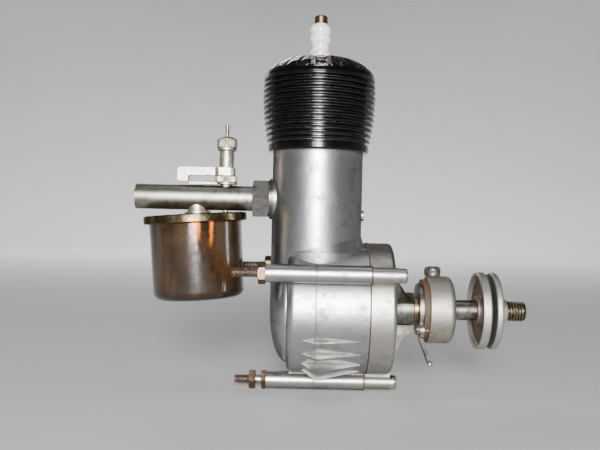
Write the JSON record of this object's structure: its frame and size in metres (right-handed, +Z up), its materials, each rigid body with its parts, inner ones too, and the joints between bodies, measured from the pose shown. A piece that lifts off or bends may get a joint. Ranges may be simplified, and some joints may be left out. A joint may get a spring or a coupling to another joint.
{
  "type": "model glow engine",
  "caption": "Antique single-cylinder model aero engine with finned head, side intake tube, hanging fuel tank, ignition timer on the nose and propeller shaft.",
  "frame": {"origin": "centre of the three mounting studs on the crankshaft axis, in the plane where a bulkhead stands behind the nuts", "axes": "+X along the crankshaft to the propeller, +Z up the cylinder, +Y to the exhaust side"},
  "size_m": [0.1237, 0.0462, 0.1182],
  "materials": {
    "case_casting": "buffed die casting, light pitting",
    "cover_casting": "buffed die casting with oil stains",
    "black_enamel": "gloss baked enamel",
    "plated_steel": "satin plated steel",
    "rusty_steel": "steel with light rust",
    "tan_brass": "tarnished brass",
    "dark_steel": "oiled steel",
    "tube_steel": "satin drawn tube",
    "nickel": "worn warm nickel plate",
    "timer_casting": "matt cream-grey casting",
    "washer_casting": "matt cream aluminium",
    "fibre": "pressed fibre board",
    "porcelain": "white glaze",
    "gasket_paper": "oiled gasket paper",
    "iron": "machined iron",
    "bronze": "bearing bronze",
    "spring_steel": "blued spring steel",
    "copper": "soft copper",
    "lid_brass": "tarnished olive brass",
    "amber": "clear amber, moulded",
    "tungsten": "contact metal"
  },
  "bodies": {
    "root": {"crankcase": "case_casting", "front_cover": "cover_casting", "cover_gasket": "gasket_paper", "mounting_stud_near": "plated_steel", "stud_nut_near": "tan_brass", "mounting_stud_far": "plated_steel", "stud_nut_far": "tan_brass", "mounting_stud_bottom": "plated_steel", "stud_nut_bottom": "tan_brass", "stud_lock_nut": "tan_brass", "liner_screw": "plated_steel", "cylinder_liner": "iron", "finned_jacket": "black_enamel", "head_seal": "copper", "plug_shell": "dark_steel", "plug_washer": "copper", "plug_insulator": "porcelain", "plug_electrode": "dark_steel", "plug_terminal": "tan_brass", "main_bush": "bronze", "intake_tube": "tube_steel", "gland_nut": "tube_steel", "gland_ferrule": "bronze", "needle_valve_body": "nickel", "valve_lock_nut": "nickel", "detent_leaf": "nickel", "fuel_pipe": "bronze", "tank_hanger": "nickel", "tank_screw": "plated_steel", "tank_nut": "tan_brass", "tank_lid": "lid_brass", "tank_bowl": "amber", "tank_seal": "gasket_paper"},
    "crank": {"crankshaft": "dark_steel", "thrust_washer": "bronze", "washer_spacer": "washer_casting", "timer_cam": "dark_steel", "drive_washer": "washer_casting", "prop_washer": "washer_casting"},
    "piston": {"piston": "iron", "wrist_pin": "dark_steel"},
    "rod": {"connecting_rod": "case_casting", "crankpin": "dark_steel"},
    "timer": {"timer_lever": "tube_steel", "timer_lever_ball": "nickel", "board_screw": "rusty_steel", "timer_board": "fibre", "timer_cup": "timer_casting", "terminal_screw": "rusty_steel", "terminal_bush": "fibre", "fixed_contact": "tungsten", "breaker_pivot": "dark_steel", "breaker_spring": "spring_steel"},
    "breaker": {"breaker_arm": "spring_steel", "moving_contact": "tungsten"},
    "needle": {"needle": "dark_steel", "needle_thimble": "nickel"},
    "lever": {"needle_lever": "nickel"}
  },
  "joints": [
    {"name": "crank_spin", "type": "hinge", "parent": "root", "child": "crank", "pos_m": [0.06, 0, 0], "axis": [1, 0, 0], "continuous": true},
    {"name": "piston_slide", "type": "slide", "parent": "root", "child": "piston", "axis": [0, 0, 1], "range_m": [-0.01905, 0]},
    {"name": "rod_swing", "type": "hinge", "parent": "piston", "child": "rod", "pos_m": [0.0205, 0, 0.0515], "axis": [1, 0, 0], "range_deg": [-13, 13]},
    {"name": "timer_advance", "type": "hinge", "parent": "root", "child": "timer", "pos_m": [0.0535, 0, 0], "axis": [1, 0, 0], "range_deg": [-35, 35]},
    {"name": "breaker_pivot_turn", "type": "hinge", "parent": "timer", "child": "breaker", "pos_m": [0.0576, 0.0068, 0.0004], "axis": [1, 0, 0], "range_deg": [0, 2.7], "stiffness_Nm_per_rad": 0.01, "springref_deg": -5.73},
    {"name": "needle_turn", "type": "hinge", "parent": "root", "child": "needle", "pos_m": [-0.0084, 0, 0.051], "axis": [0, 0, 1], "range_deg": [-180, 180]},
    {"name": "lever_turn", "type": "hinge", "parent": "root", "child": "lever", "pos_m": [-0.0084, 0, 0.0422], "axis": [0, 0, 1], "range_deg": [-95, 95]}
  ]
}
